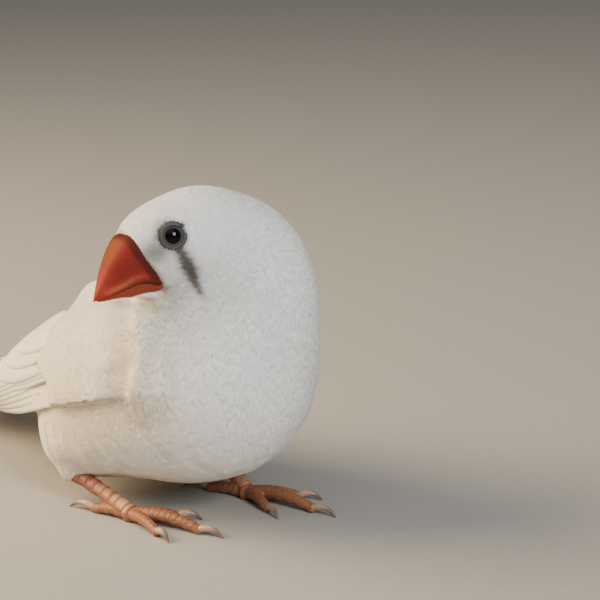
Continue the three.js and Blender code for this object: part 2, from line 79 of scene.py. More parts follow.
HEAD_AT = np.array((9.8, -5.8, 39.8))
round_z, round_y, round_x = (
    Matrix.Rotation(radians(turn), 3, axis) for axis, turn in (("Z", -97), ("Y", 25), ("X", 4.3))
)
HEAD_TURN = np.array(round_z @ round_y @ round_x)
BILL_BASE = np.array((8.2, 0, 1.0))  # in the head's frame: +X to the bill, +Y its left, +Z its crown
TAIL_ROOT, TAIL_DOWN = np.array((-24, 0, 15.4)), radians(19)
TAIL_BACK = np.array((-cos(TAIL_DOWN), 0, -sin(TAIL_DOWN)))
TAIL_OVER = np.array((-sin(TAIL_DOWN), 0, cos(TAIL_DOWN)))
HULL_VOXEL, SKIN_VOXEL = 0.6, 0.36
SWELL = 0.25  # how far each solid is swollen, so that they melt together
SKIN_PAST_ROOT = 8  # how far the skin runs into the tail
HOLLOW = 7  # the round that fills a hollow


def to_head(points):
    return (points - HEAD_AT) @ HEAD_TURN


def on_head(points):
    return np.asarray(points, float) @ HEAD_TURN.T + HEAD_AT


def linear(code, alpha=1):
    """An sRGB hex colour as linear red, green, blue and alpha."""
    srgb = [int(code[i : i + 2], 16) / 255 for i in (0, 2, 4)]
    return [c / 12.92 if c <= 0.04045 else ((c + 0.055) / 1.055) ** 2.4 for c in srgb] + [alpha]


def size(ways):
    """The length of each way."""
    return np.linalg.norm(ways, axis=-1)


def unit(ways):
    """Ways at a length of one."""
    return ways / size(ways)[..., None]


def ramp(low, high, x):
    """Smoothly from 0 at low to 1 at high."""
    t = np.clip((x - low) / (high - low), 0, 1)
    return t * t * (3 - 2 * t)


def only(*pieces):
    """Selects these pieces alone, the first of them active."""
    bpy.ops.object.select_all(action="DESELECT")
    for piece in pieces:
        piece.select_set(True)
    bpy.context.view_layer.objects.active = pieces[0]


def apply_modifier(piece, kind, **settings):
    only(piece)
    modifier = piece.modifiers.new(kind.lower(), kind)
    for name, value in settings.items():
        setattr(modifier, name, value)
    bpy.ops.object.modifier_apply(modifier=modifier.name)


def soften(piece, times, **settings):
    apply_modifier(piece, "SMOOTH", factor=0.5, iterations=times, **settings)


def melt(piece, voxel, times):
    """Melts a piece into one closed surface of even faces, and smooths it so many times."""
    apply_modifier(piece, "REMESH", mode="VOXEL", voxel_size=voxel * MM)
    soften(piece, times)


def points_of(piece, layer="co"):
    """A piece's points in the bird's millimetres, or their normals."""
    flat = np.empty(len(piece.data.vertices) * 3)
    piece.data.vertices.foreach_get(layer, flat)
    return flat.reshape(-1, 3) / MM - BIRD if layer == "co" else flat.reshape(-1, 3)


def set_points(piece, points):
    piece.data.vertices.foreach_set("co", ((points + BIRD) * MM).ravel())
    piece.data.update()


def tint(piece, colours):
    """Keeps a colour at each point, in an attribute that the materials read."""
    layer = piece.data.color_attributes.new("tint", "FLOAT_COLOR", "POINT")
    layer.data.foreach_set("color", np.asarray(colours, float).ravel())


def node(tree, kind, links=None, **settings):
    """Adds a node: settings are its properties or, by name, its inputs, and links join its inputs."""
    made = tree.nodes.new("ShaderNode" + kind)
    for name, value in settings.items():
        if hasattr(made, name):
            setattr(made, name, value)
        else:
            made.inputs[name.replace("_", " ")].default_value = value
    for name, source in (links or {}).items():
        tree.links.new(source, made.inputs[name])
    return made


def grained(name, grain, change, rise, stretch=(1, 1, 1), turned=(0, 0, 0), **sockets):
    """A material in the colour kept at each point, with a grain: its size and relief in millimetres
    and how much it darkens, stretched along the axes of a turned frame."""
    made = bpy.data.materials.new(name)
    made.use_nodes = True
    tree = made.node_tree
    shader = tree.nodes["Principled BSDF"]
    for socket, value in sockets.items():
        shader.inputs[socket.replace("_", " ")].default_value = value
    seen = node(tree, "VertexColor", layer_name="tint")
    where = node(tree, "TexCoord")
    laid = node(tree, "Mapping", {"Vector": where.outputs["Object"]}, Scale=stretch, Rotation=turned)
    specks = node(
        tree, "TexNoise", {"Vector": laid.outputs["Vector"]},
        Scale=1 / (grain * MM), Detail=5.0, Roughness=0.6,
    )
    light = node(
        tree, "MapRange", {"Value": specks.outputs["Fac"]},
        From_Min=0.3, From_Max=0.7, To_Min=1 - change, To_Max=1 + 0.4 * change,
    )
    both = {0: seen.outputs["Color"], 1: light.outputs["Result"]}
    mixed = node(tree, "VectorMath", both, operation="MULTIPLY")
    relief = node(tree, "Bump", {"Height": specks.outputs["Fac"]}, Distance=rise * MM, Strength=1.0)
    tree.links.new(mixed.outputs["Vector"], shader.inputs["Base Color"])
    tree.links.new(relief.outputs["Normal"], shader.inputs["Normal"])
    return made


def spot(*off):
    """1 at a place, fading round it, from how many widths off it lies each way."""
    return np.exp(-sum(way**2 for way in off))


def painted(points, base, *washes):
    """A colour for each point: a base, with washes of other colours over it by their shares."""
    colours = np.tile(linear(base), (len(points), 1))
    for code, share in washes:
        colours = colours + (np.array(linear(code)) - colours) * np.clip(share, 0, 1)[:, None]
    return colours


# The sheet that the wings lie on wraps the flanks: s runs back from the wrist, t up and h out.
# Its cut across the bird is an oval. The three rows are its half width, its rise above its widest
# height and that height, at even stations from the tail.
WRIST_X, WRIST_Z, WING_DOWN, WING_LEAN = 12.5, 19.5, radians(17), 0.23
WING_FROM, WING_STEP = -56, 8
WING_OVALS = np.array((
    (5.8, 6, 6.6, 8.2, 10.4, 13.2, 15.8, 16.8, 16.5, 14.2),
    (3, 4, 5.2, 6.8, 9.6, 14, 17.5, 17.8, 16.5, 15.2),
    (5, 7, 9.5, 11, 12, 12.8, 14.2, 17, 18.8, 19.2),
))


def wing_oval(x):
    """The oval's three measures at x, on smooth curves through the stations."""
    count = WING_OVALS.shape[1]
    at = np.clip((x - WING_FROM) / WING_STEP, 0, count - 1.001)
    i = at.astype(int)
    f = at - i
    a, b, c, d = (WING_OVALS[:, np.clip(i + k, 0, count - 1)] for k in (-1, 0, 1, 2))
    return b + 0.5 * f * (c - a + f * (2 * a - 5 * b + 4 * c - d + f * (3 * (b - c) + d - a)))


def wing_sheet(side):
    """The sheet of one wing: a function from s, t and h to places on the bird."""

    def on_sheet(s, t):
        x = WRIST_X - s * cos(WING_DOWN) - t * WING_LEAN
        half, crown, widest = wing_oval(x)
        low = WRIST_Z - s * sin(WING_DOWN) - widest
        turn = np.arcsin(np.maximum(-0.9, low / crown)) + 2 * t / (half + crown)
        return np.stack((x, side * half * np.cos(turn), widest + crown * np.sin(turn)), axis=-1)

    def sheet(s, t, h):
        here = on_sheet(s, t)
        back, up = on_sheet(s + 0.05, t) - here, on_sheet(s, t + 0.05) - here
        return here + np.asarray(h)[..., None] * unit(np.cross(back, up) * side)

    return sheet


def sheet_place(at):
    """Where a point lies on the wings' sheet: s back from the wrist and t up."""
    x, y, z = at.T
    half, crown, widest = wing_oval(x)
    turn = np.arctan2((z - widest) / crown, np.abs(y) / half)
    t = np.zeros(len(at))
    for _ in range(4):
        s = (WRIST_X - x - t * WING_LEAN) / cos(WING_DOWN)
        low = (WRIST_Z - s * sin(WING_DOWN) - widest) / crown
        t = (turn - np.arcsin(np.clip(low, -0.9, 0.99))) * (half + crown) / 2
    return s, t


# The line where the bill comes out of the feathers, and the dark tear stripe: heights in the
# head's frame, with the place ahead or the half width at each.
FEATHER_LINE = (
    (-3.2, -1.9, -0.8, 0.4, 1.5, 2.6, 3.5, 4.4, 5.0),
    (7.0, 7.1, 7.22, 7.38, 7.54, 7.7, 7.67, 7.5, 7.15),
)
TEAR = ((-6.9, -6.1, -3.75, -2.2, -1.0, 0.3, 1.3, 1.8, 2), (0.0, 0.15, 0.6, 0.88, 0.88, 0.74, 0.6, 0.45, 0))
TEAR_AHEAD = 3.45
WHITE, CREAM, CREASE_SHADE, THROAT = "edebe6", "ecdfc8", "c9b292", "e6dfc4"
LORE_SHADE_GREY, RING_GREY, LID_GREY, WEDGE_GREY = "7d7b75", "85868a", "3c3b3a", "45454a"
GAPE_GREY, TEAR_BROWN = "8f8e86", "43372e"


def plumage_colours(at):
    """The bird's markings, as a colour for each point, with painted shade in the valley before the wing and
    between the eye and the bill.
    """
    local = to_head(at)
    x, y, z = local.T
    s, t = sheet_place(at)
    on_wing = ramp(-8, 1, s) * ramp(-9, -2, t) * ramp(35, 26, at[:, 2])
    behind = 0.8 * ramp(5, -7, at[:, 0]) * ramp(31, 24, at[:, 2])
    # Painted shade: a darker warm tint along the valley where the wing's front meets the breast.
    fold = spot((s - 2.2) / 1.1) * ramp(0, 3, t) * ramp(14, 11, t) * ramp(31, 28, at[:, 2])
    throat = spot((x - 8) / 2.5, (z + 5.5) / 2.5, y / 4)
    side = ramp(2, 4, np.abs(y)) * (size(local) < 12)  # of the face
    # Painted shade: a grey patch from under the eye's front down to the bill.
    lore_shade = np.exp(-((((x - 5.9) / 1.8) ** 2) + ((z - 2.0) / 1.5) ** 2) ** 1.2)
    ring = np.hypot(x - 3.2, z - 2.8)
    wedge = ramp(1, 0.5, np.abs(z - 3.0 - 0.42 * (1.7 - x)) / 0.34 + ramp(1.2, 0.1, x)) * (x < 2)
    gape = spot((x - 6.2) / 0.5, (z + 3.3) / 0.5)  # at the corner of the mouth
    wide = np.interp(z, *TEAR)
    tear = ramp(0.42, -0.34, np.abs(x - TEAR_AHEAD) - wide) * ramp(0, 0.1, wide) * (ring > 1.5)
    return painted(
        at, WHITE, (CREAM, np.maximum(behind, on_wing)), (CREASE_SHADE, 0.5 * fold), (THROAT, 0.7 * throat),
        (LORE_SHADE_GREY, 0.9 * lore_shade * side), (RING_GREY, 0.6 * ramp(2.5, 1.9, ring) * side),
        (WEDGE_GREY, 0.8 * wedge * side), (LID_GREY, ramp(1.9, 1.7, ring) * side),
        (GAPE_GREY, 0.5 * gape * side), (TEAR_BROWN, 0.95 * tear * side),
    )


def swollen(*names):
    """The part's solids of these names as one object, each a little swollen."""
    pieces = []
    for name in names:
        piece = added("skin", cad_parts[name].data.copy())
        only(piece)
        bpy.ops.object.mode_set(mode="EDIT")
        bpy.ops.mesh.select_all(action="SELECT")
        bpy.ops.mesh.remove_doubles(threshold=0.002 * MM)
        if name == "tail":
            cut = place(*(TAIL_ROOT + SKIN_PAST_ROOT * TAIL_BACK))
            bpy.ops.mesh.bisect(plane_co=cut, plane_no=TAIL_BACK, use_fill=True, clear_outer=True)
        bpy.ops.object.mode_set(mode="OBJECT")
        apply_modifier(piece, "DISPLACE", strength=SWELL * MM, mid_level=0)
        pieces.append(piece)
    only(*pieces)
    bpy.ops.object.join()
    return pieces[0]


def from_bill(at):
    """How far points lie from the root of the bill."""
    return size(to_head(at) - BILL_BASE)


def even(piece, times, **settings):
    """Smooths away ridges and creases but keeps the larger form."""
    soften(piece, times, **settings)
    once = points_of(piece)
    soften(piece, times, **settings)
    set_points(piece, 2 * once - points_of(piece))


# Each leg's side, the middle of its heel and the ball of its foot.
LEGS = {
    "right": (-1, np.array((-8.6, -11.5, 4.9)), np.array((3.6, -10, 1.5))),
    "left": (1, np.array((-5.5, 10.5, 5.2)), np.array((7.2, 7.7, 1.5))),
}

# Feathers fill the hollows between body, neck and head, so the body is first swollen far enough
# to close them and then drawn back. The face is left out of this.
hull = swollen("torso", "neck", "head", "tail")
for voxel, times, by in ((0.5, 8, HOLLOW), (HULL_VOXEL, 12, -HOLLOW)):
    melt(hull, voxel, times)
    set_points(hull, points_of(hull) + by * points_of(hull, "normal"))
apply_modifier(hull, "REMESH", mode="VOXEL", voxel_size=HULL_VOXEL * MM)
even(hull, 150)
drawn = points_of(hull)
face = ramp(9.5, 7, from_bill(drawn)) * ramp(-6, -4.6, to_head(drawn)[:, 2])
set_points(hull, drawn - 2 * face[:, None] * points_of(hull, "normal"))
skin = swollen("head", "upper_bill", "lower_bill", "eye_right", "eye_left")
cuffs = []  # the fluff that hides each heel
for side, heel, ball in LEGS.values():
    shank = unit(ball - heel)
    for at, radius in ((heel + 1.2 * shank + (0, 0, 0.6), 2.5), (heel + (0.6, -1.5 * side, 2.2), 3.6)):
        bpy.ops.mesh.primitive_ico_sphere_add(subdivisions=4, radius=radius * MM, location=place(*at))
        bpy.ops.object.transform_apply()
        cuffs.append(bpy.context.object)
only(skin, hull, *cuffs)
bpy.ops.object.join()
skin.name = "skin"
melt(skin, SKIN_VOXEL, 10)
shell = points_of(skin)
body = np.maximum(ramp(7, 11, from_bill(shell)), ramp(-4.6, -6.6, to_head(shell)[:, 2]))
group = skin.vertex_groups.new(name="body")
for i, weight in enumerate(body.tolist()):
    group.add([i], weight, "REPLACE")
even(skin, 60, vertex_group="body")


def either(a, b, soft):
    """The higher of two heights, melted together where they meet."""
    return (a + b + np.sqrt((a - b) ** 2 + soft**2)) / 2


def coverts_end(t):
    """How far back the small coverts reach over the flight feathers."""
    return 18 + 8 * ramp(3, 9, t)


WING_TOP = ((0, 8, 12, 16, 20, 26, 30), (17.5, 19, 18.2, 16, 14, 12.8, 12.2))  # s, and the arm's top there


def folded_arm(s, t):
    """How high the folded arm in its coverts stands over the sheet, and the breast's puff before it."""
    front = s - 0.6 * np.sin(0.75 * t + 0.4) - 0.25 * np.sin(1.9 * t)  # the fold before it is uneven
    arm = 0.75 - 1.5 * ramp(6.5, 0.8, front) - 9 * ramp(1, -4, s) - 1.5 * ramp(-2, 3, s - coverts_end(t))
    arm = arm + 1.5 * spot((s - 11.5) / 4.5, (t - 17) / 3.5)
    arm = arm - 3.5 * ramp(1.15, 0.65, t) - 2.5 * ramp(-2.5, 1.5, t - np.interp(s, *WING_TOP))
    puff = 0.85 - 2.8 * ramp(-0.2, 3.6, front) - 1.8 * ramp(0, -4.5, s) - 9 * ramp(-3.5, -7, s)
    puff = puff - 2.4 * ramp(2, -3.5, t) - 2 * ramp(10, 14, t)
    return either(arm, puff, 0.4)


shell = points_of(skin)
s, t = sheet_place(shell)
for side in (-1, 1):
    near = (shell[:, 1] * side > 2) & (s > -7) & (s < 34) & (t > -7) & (t < 22)
    over = wing_sheet(side)(s[near], t[near], 0.0)
    out = wing_sheet(side)(s[near], t[near], 1.0) - over
    height = np.sum((shell[near] - over) * out, axis=1)
    lower = 0.4 * (side > 0) * ramp(4, 1, s[near])  # the left wing is tucked in at its wrist
    raised = either(height, folded_arm(s[near], t[near]) + 0.28 - lower, 0.5)
    shell[near] += (raised - height)[:, None] * out
# The flank and the breast before the right wing are ruffled in soft folds.
flank = ramp(16, 8, shell[:, 2]) * ramp(12, 2, shell[:, 0])
before_wing = ramp(-6, -2, s) * ramp(3, 1.5, s) * ramp(16, 12, t)
folds = np.array([noise.noise(Vector(p)) for p in shell * (0.42, 0.42, 0.13) + (0, 0, 0.3) * shell[:, :1]])
ruffle = 0.38 * np.maximum(flank, before_wing) * folds * ramp(6, 0, shell[:, 1])
set_points(skin, shell + ruffle[:, None] * points_of(skin, "normal"))
melt(skin, SKIN_VOXEL, 3)


def coat_depth(at):
    """How far the tips of the coat stand off the skin: little on the face, most on the body."""
    return 0.26 + 0.12 * ramp(2, 14, from_bill(at))


def below_bill(local):
    """How far a point lies under the bill's keel, in the head's frame."""
    return -4.1 + 0.38 * (local[:, 0] - 7.5) - local[:, 2]


def past_feathers(local):
    """How far a point lies ahead of the line where the feathers end, which juts at the chin."""
    chin = ramp(-3, -4.2, local[:, 2]) * ramp(2.6, 1.2, np.abs(local[:, 1]))
    return local[:, 0] - np.interp(local[:, 2], *FEATHER_LINE) - chin


BILL_SIDE = 4.6  # nothing of the bill lies farther out
shell = points_of(skin)
local = to_head(shell)
in_bill = 1.1 * ramp(-0.3, 0.6, past_feathers(local)) * (np.abs(local[:, 1]) < BILL_SIDE) * (local[:, 0] > 6)
in_bill *= ramp(0.3, -0.3, below_bill(local))
set_points(skin, shell - points_of(skin, "normal") * (0.14 + coat_depth(shell) + in_bill)[:, None])
soften(skin, 4)
bpy.ops.object.shade_smooth()
tint(skin, plumage_colours(points_of(skin)))
# Skin in white down: chalky, soft and without gloss, as it shows between the tufts.
skin.data.materials.clear()
skin.data.materials.append(grained("white plumage skin", 0.8, 0.05, 0.02, Roughness=0.9))
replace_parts(skin, "torso", "neck", "head", "wing_right", "wing_left")
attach(skin, "root")

# Wings: stiff creamy flight feathers, each two combs of barbs on a shaft of keratin. Primaries,
# secondaries and tertials are rooted in the folded arm, under its small coverts, and close over
# one another in three tiers on the wing's sheet.

rng = np.random.default_rng(5107)


def grid(rows, columns):
    """The row value and the column value of each place in a grid."""
    return np.meshgrid(rows, columns, indexing="ij")


def outward(points, faces):
    """A closed shape's points and triangles, turned to face out."""
    a, b, c = (points[faces[:, k]] - points.mean(axis=0) for k in range(3))
    return points, faces if np.sum(a * np.cross(b, c)) > 0 else faces[:, ::-1]


def grid_faces(index):
    """Triangles over a grid of points."""
    corners = (index[:-1, :-1], index[:-1, 1:], index[1:, 1:], index[1:, :-1])
    a, b, c, d = (corner.ravel() for corner in corners)
    return np.concatenate((np.stack((a, b, c), 1), np.stack((a, c, d), 1)))


def slab(top, bottom):
    """Points and triangles of two facing grids, closed round their rim."""
    rows, columns = top.shape[:2]
    index = np.arange(rows * columns).reshape(rows, columns)
    over, under = grid_faces(index), rows * columns
    rim = np.concatenate((index[0], index[1:, -1], index[-1, -2::-1], index[-2::-1, 0]))
    walls = grid_faces(np.stack((rim, rim + under)))[:, ::-1]
    points = np.concatenate((top.reshape(-1, 3), bottom.reshape(-1, 3)))
    return outward(points, np.concatenate((over, over[:, ::-1] + under, walls)))


def joined(parts):
    """Several bodies' points and triangles as one table."""
    starts = np.cumsum([0] + [len(points) for points, _ in parts[:-1]])
    faces = [faces + start for (_, faces), start in zip(parts, starts)]
    return np.concatenate([points for points, _ in parts]), np.concatenate(faces)


def mesh_piece(name, points, faces, finish, slot, colours=None):
    """A finished piece from points, triangles and a colour for each point."""
    mesh = bpy.data.meshes.new(name)
    mesh.vertices.add(len(points))
    mesh.loops.add(faces.size)
    mesh.polygons.add(len(faces))
    mesh.loops.foreach_set("vertex_index", faces.ravel())
    mesh.polygons.foreach_set("loop_start", np.arange(0, faces.size, 3))
    mesh.polygons.foreach_set("use_smooth", np.ones(len(faces), bool))
    piece = added(name, mesh)
    set_points(piece, points)
    mesh.update(calc_edges=True)
    if colours is not None:
        tint(piece, colours)
    mesh.materials.append(finish)
    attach(piece, "root")
    return piece


# Where a feather's points lie: along it from the root, closer towards the tip, and across it.
VANE = grid(1 - np.linspace(1, 0, 17) ** 1.35, np.linspace(-1, 1, 9))
VANE_EDGE, VANE_MIDDLE, COVERT_EDGE, COVERT_MIDDLE, SHAFT = "efe5d2", "e9dfca", "efe9dd", "ebe4d6", "c0b196"
BARB_GAP, BARB_RISE = 0.42, 0.012  # drawn wider than real barbs, which are too fine to show
BANDS = 0.314  # how far apart a Wave texture's bands lie at scale 1


def vane(sheet, root, tip, width, height, lift=0.1, bow=0.0, thick=0.12, drop=0.0):
    """One feather: a cambered vane on a raised shaft, one edge lifted over its neighbour."""
    f, j = VANE
    ahead = np.subtract(tip, root)
    long = np.hypot(*ahead)
    side = (-ahead[1] / long, ahead[0] / long)
    blunt = np.sqrt(1 - 0.94 * np.clip((f - 0.6) / 0.4, 0, 1) ** 2)
    shape = (0.6 + 0.4 * ramp(0, 0.55, f)) * blunt
    aside = bow * 4 * f * (1 - f) + j * width * shape / 2
    s, t = (root[k] + ahead[k] * f + side[k] * aside for k in (0, 1))
    shaft = 0.04 * spot(j / 0.15) * (1 - f)
    own = (0.07 * (1 - j * j) + shaft - j * lift) * ramp(0.15, 0.55, f)
    h = height + own - drop * f**3 - 1.3 * ramp(0.4, 0, f) - 0.5 * ramp(12, 16, t)
    body = thick * (1 - 0.7 * np.abs(j) ** 3) * (1 - 0.6 * f)
    barbs = (f * long - 0.7 * np.abs(j) * width).ravel() * MM
    return *slab(sheet(s, t, h), sheet(s, t, h - body)), np.concatenate((barbs, barbs))


def vane_colours(count, edge, middle):
    """Paler along the edges and the tip, with a duller shaft."""
    f, j = (np.tile(places.ravel(), 2) for places in VANE)
    colours = []
    for _ in range(count):
        rim = 0.8 * np.abs(j) ** 2.5 + 0.4 * ramp(0.85, 1, f)
        tints = painted(f, middle, (edge, rim), (SHAFT, 0.4 * spot(j / 0.1) * (1 - f)))
        tints[:, :3] *= 1 + rng.normal(0, 0.015)
        colours.append(tints)
    return np.concatenate(colours)


# Flight feathers: creamy white keratin, smooth and faintly glossy, and combed with fine barbs
# that slant from the shaft to the tip.
flight = grained("cream flight feathers", 0.9, 0.06, 0.02, Roughness=0.6, Sheen_Weight=0.1)
tree = flight.node_tree
along = node(tree, "Attribute", attribute_name="barbs")
laid = node(tree, "CombineXYZ", {"X": along.outputs["Fac"]})
scale = BANDS / (BARB_GAP * MM)
comb = node(tree, "TexWave", {"Vector": laid.outputs["Vector"]}, Scale=scale, Distortion=0.0)
shader = tree.nodes["Principled BSDF"]
links = {"Height": comb.outputs["Fac"], "Normal": shader.inputs["Normal"].links[0].from_socket}
relief = node(tree, "Bump", links, Distance=BARB_RISE * MM, Strength=1.0)
tree.links.new(relief.outputs["Normal"], shader.inputs["Normal"])


def plume(name, vanes, edge, middle):
    """A piece of several stiff vanes."""
    points, faces = joined([vane[:2] for vane in vanes])
    piece = mesh_piece(name, points, faces, flight, "flight_feathers", vane_colours(len(vanes), edge, middle))
    layer = piece.data.attributes.new("barbs", "FLOAT", "POINT")
    layer.data.foreach_set("value", np.concatenate([vane[2] for vane in vanes]))
    return piece


# Each tier's name and count, its first root and first tip with the steps to the next, width, bow,
# thickness, height and step up, how far the tips drop, and by what they fall short of the longest.
WING_TIERS = (
    ("primaries", 9, ((13, 2.6), (0.3, 1.1)), ((52, 2.9), (-0.3, 0.5)), 4.2, -0.1, 0.14, 0.1, 0.04, 0, 0.42),
    ("secondaries", 7, ((13, 6.6), (-0.2, 0.6)), ((41, 5.6), (-0.4, 0.6)), 4.6, -0.1, 0.12, 0.3, 0.03, 0.1, 0),
    ("tertials", 3, ((13, 7.9), (-0.8, 1.8)), ((42.5, 7.5), (-3, 1.7)), 6.2, 0.1, 0.14, 0.5, 0.1, 0.15, 0),
)
LONGEST = 2.4  # the place of the longest primary, counted from the lowest
for side, word in ((-1, "right"), (1, "left")):
    sheet = wing_sheet(side)
    for name, count, roots, tips, width, bow, thick, height, step, drop, short in WING_TIERS:
        parts = []
        for k in range(count):
            root, tip = (np.array(first) + np.array(by) * k for first, by in (roots, tips))
            tip[0] += rng.uniform(-0.3, 0.3) - short * (k - LONGEST) ** 2
            parts.append(vane(sheet, root, tip, width, height + step * k, bow=bow, thick=thick, drop=drop))
        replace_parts(plume(name + "_" + word, parts, VANE_EDGE, VANE_MIDDLE), "wing_" + word)

# Tail: twelve stiff feathers in six pairs, rooted in the rump and closed like a fan, the middle
# pair on top. Two rows of softer coverts lie over their roots and one row under them.

# Above or below the feathers, how far back it reaches, count and width.
TAIL_COVERTS = ((1, 15, 5, 3.9), (1, 11, 6, 3.4), (-1, 13, 5, 3.6))


def tail_sheet(s, t, h):
    """The sheet of the tail, arched across: s runs back from its root, t to the left and h up."""
    s, t, h = (value[..., None] for value in (s, t, h))
    return TAIL_ROOT + TAIL_BACK * s + np.array((0, 1, 0)) * t + TAIL_OVER * (h - 0.03 * t * t)


parts = []
for pair in range(6):
    for side in (-1, 1):
        long = 36 - 0.09 * pair**2 + rng.uniform(-0.25, 0.25)
        root, tip = (-2, side * (0.5 + 0.28 * pair)), (long, side * (1.1 + 0.8 * pair))
        height = 1.6 - 0.2 * pair - (0.1 if side > 0 else 0)
        parts.append(vane(tail_sheet, root, tip, 6, height, lift=side * 0.1))
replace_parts(plume("tail_feathers", parts, VANE_EDGE, VANE_MIDDLE), "tail")
parts = []
for over, reach, count, width in TAIL_COVERTS:
    for k in range(count):
        aside = (k - (count - 1) / 2) * 1.5
        tip = (reach - 0.3 * aside**2, aside * 1.1)
        height = 2.3 - 0.05 * aside**2 if over > 0 else -1.9
        parts.append(vane(tail_sheet, (-1, aside), tip, width, height, lift=0.06))
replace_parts(plume("tail_coverts", parts, COVERT_EDGE, COVERT_MIDDLE), "tail")

# Coat: small white contour feathers over the whole body, each a thin tuft of barbs. They grow
# from the skin, overlap like tiles and lie from the bill back to the tail, over the wings' arms.

BARBS = 6
LAYERS = 11  # how many tufts lie over each place
BARE_RING, LID_CLEAR = 1.8, 1.78  # how near to the eye's axis tufts take root, and reach
RUMP_END = -31  # no tufts grow behind this

# Contour feathers: chalky, soft and without gloss, with a faint sheen where they curve away.
down = grained(
    "white contour feathers", 1.6, 0.05, 0.02, Roughness=0.85, Sheen_Weight=0.2, Sheen_Roughness=0.5
)
skin_points = points_of(skin)
skin_faces = np.array([(*polygon.vertices, polygon.vertices[-1])[:4] for polygon in skin.data.polygons])
halves = np.concatenate((skin_faces[:, :3], skin_faces[skin_faces[:, 2] != skin_faces[:, 3]][:, (0, 2, 3)]))
body_ground = BVHTree.FromPolygons([Vector(p) for p in skin_points], [tuple(f) for f in halves.tolist()])


def flatten(ways, normals):
    """Ways laid into the surface, at unit length."""
    ways = ways - normals * np.sum(ways * normals, axis=1, keepdims=True)
    return ways / np.maximum(size(ways)[:, None], 1e-6)


def follow(at, normals, ways, lengths, share):
    """Where a step over the skin ends: the place, its normal turned the same way, and the way on."""
    found = [body_ground.find_nearest(Vector(p)) for p in at + ways * lengths * share + normals * 0.5]
    end, out = np.array([f[0] for f in found]), np.array([f[1] for f in found])
    out *= np.where(np.sum(out * normals, axis=1, keepdims=True) < 0, -1, 1)
    out = unit(out + 0.6 * normals)
    return end, out, flatten(end - at, out)


def lie(at):
    """The way feathers lie: away from the bill on the head, down the neck, then to the tail."""
    away = (to_head(at) - BILL_BASE + (0.4, 0, 0)) @ HEAD_TURN.T
    far = size(away)[:, None]
    turn = ramp(16, -3, at[:, :1])
    body = (1 - turn) * (-0.25, 0, -1) + turn * (-1, 0, -0.28)
    share = ramp(24, 13, far) * ramp(-9, -6, to_head(at)[:, 2:])
    body = share * away / far + (1 - share) * body
    s, t = sheet_place(at)
    wing = ramp(-4, 6, s) * ramp(-0.5, 0.8, t) * ramp(21, 18, t) * ramp(32, 29, at[:, 2])
    return body + wing[:, None] * (np.array((-cos(WING_DOWN), 0, -sin(WING_DOWN))) - body)


def scatter(points, faces, density):
    """Roots spread evenly over quads, so many to a square millimetre, near ones in a row."""
    a, b, c, d = (points[faces[:, k]] for k in range(4))
    normals = np.cross(c - a, d - b) / 2
    area = size(normals)
    cells = ((a - points.min(axis=0)) / 0.7).astype(np.int64)
    order = np.argsort(sum(((cells[:, k] >> bit) & 1) << (3 * bit + k) for bit in range(8) for k in range(3)))
    count = np.cumsum((area * density)[order])
    steps = np.arange(0.5, count[-1] - 0.5)
    picks = order[np.searchsorted(count, steps + rng.uniform(-0.45, 0.45, len(steps)))]
    u, v = rng.uniform(0, 1, (2, len(picks), 1))
    at = (1 - u) * ((1 - v) * a[picks] + v * d[picks]) + u * ((1 - v) * b[picks] + v * c[picks])
    return at, normals[picks] / area[picks, None]


def tuft_faces():
    """One tuft, closed: a root edge, a middle row with a thin body, and a point for each barb."""
    top = [2 + k for k in range(BARBS + 1)]
    under = [top[0], *(3 + BARBS + k for k in range(BARBS - 1)), top[-1]]
    tips = [2 + 2 * BARBS + k for k in range(BARBS)]
    faces = []
    half = BARBS // 2
    for row, flip in ((top, 1), (under, -1)):
        for k in range(BARBS):
            faces.append((0 if k < half else 1, row[k + 1], row[k])[::flip])
            faces.append((row[k], row[k + 1], tips[k])[::flip])
        faces.append((0, 1, row[half])[::flip])
    for k in range(1, BARBS):
        faces.append((tips[k - 1], top[k], under[k]))
        faces.append((tips[k], under[k], top[k]))
    return np.array(faces)[:, ::-1]


PATCH = 0.003  # a tuft's share of the unwrap
TUFT = tuft_faces()


def round_unwrap(at, centre):
    """The skin unwrapped round a centre inside it, its poles along the bird's length."""
    x, y, z = (at - centre).T
    turn = np.arctan2(y, z) / (2 * pi) + 0.5
    tip = np.arccos(np.clip(x / np.sqrt(x * x + y * y + z * z), -1, 1)) / pi
    return 0.01 + 0.98 * np.stack((turn, tip), axis=1)


